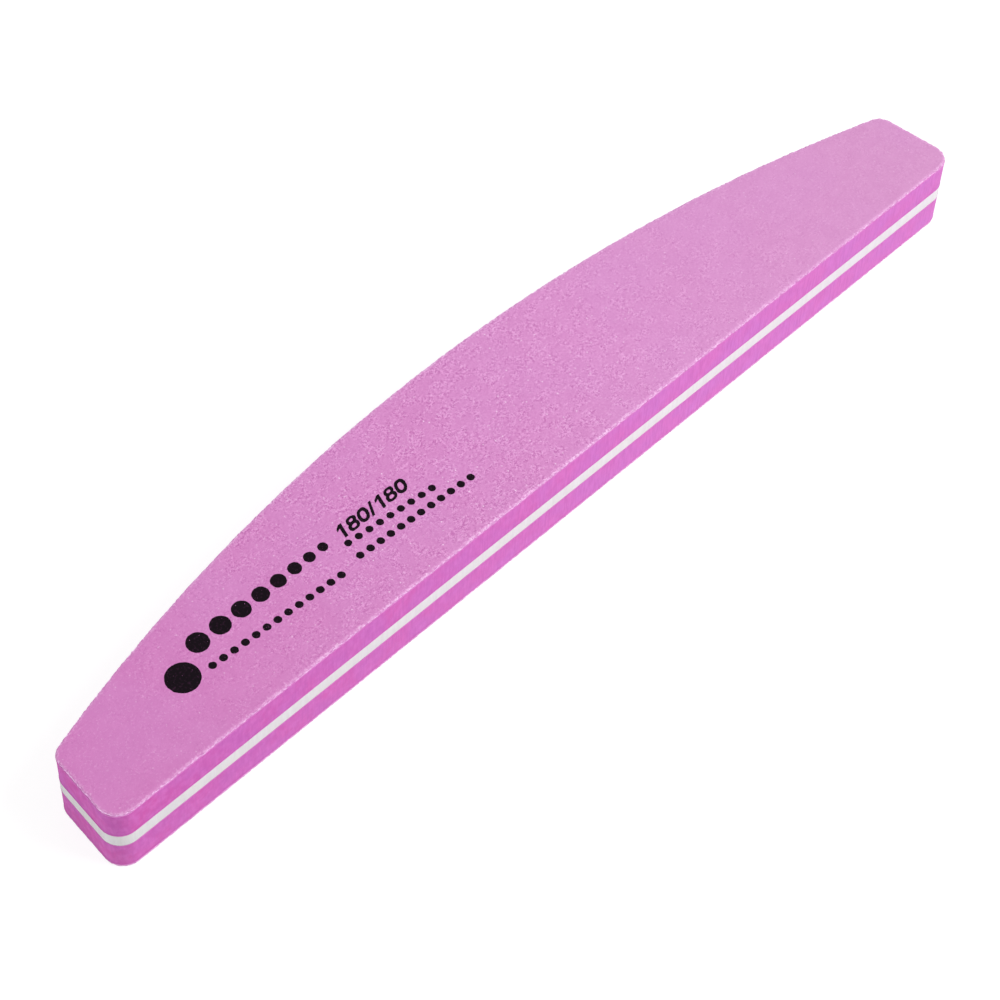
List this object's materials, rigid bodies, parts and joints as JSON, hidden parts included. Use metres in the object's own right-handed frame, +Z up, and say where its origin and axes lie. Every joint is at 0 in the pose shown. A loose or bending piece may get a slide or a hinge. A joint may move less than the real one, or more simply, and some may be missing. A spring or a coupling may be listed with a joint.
{
  "type": "nail buffer",
  "caption": "Half-moon nail buffer: a flat block of foam on a stiff core board, faced on both sides with abrasive sheet.",
  "frame": {"origin": "on the lower abrasive face, which the buffer rests on, under the middle of the bounding box", "axes": "+X along the straight edge, +Y from the straight edge to the arched edge, +Z up through the layers"},
  "size_m": [0.178, 0.0278, 0.0134],
  "materials": {
    "grit_coat": "matte",
    "backing_paper": "matte",
    "bond_film": "satin",
    "foam": "matte",
    "core_plastic": "satin"
  },
  "bodies": {
    "root": {"lower_grit_coat": "grit_coat", "lower_abrasive_backing": "backing_paper", "lower_sheet_adhesive": "bond_film", "lower_foam_pad": "foam", "lower_core_adhesive": "bond_film", "core_board": "core_plastic", "upper_core_adhesive": "bond_film", "upper_foam_pad": "foam", "upper_sheet_adhesive": "bond_film", "upper_abrasive_backing": "backing_paper", "upper_grit_coat": "grit_coat"}
  },
  "joints": []
}
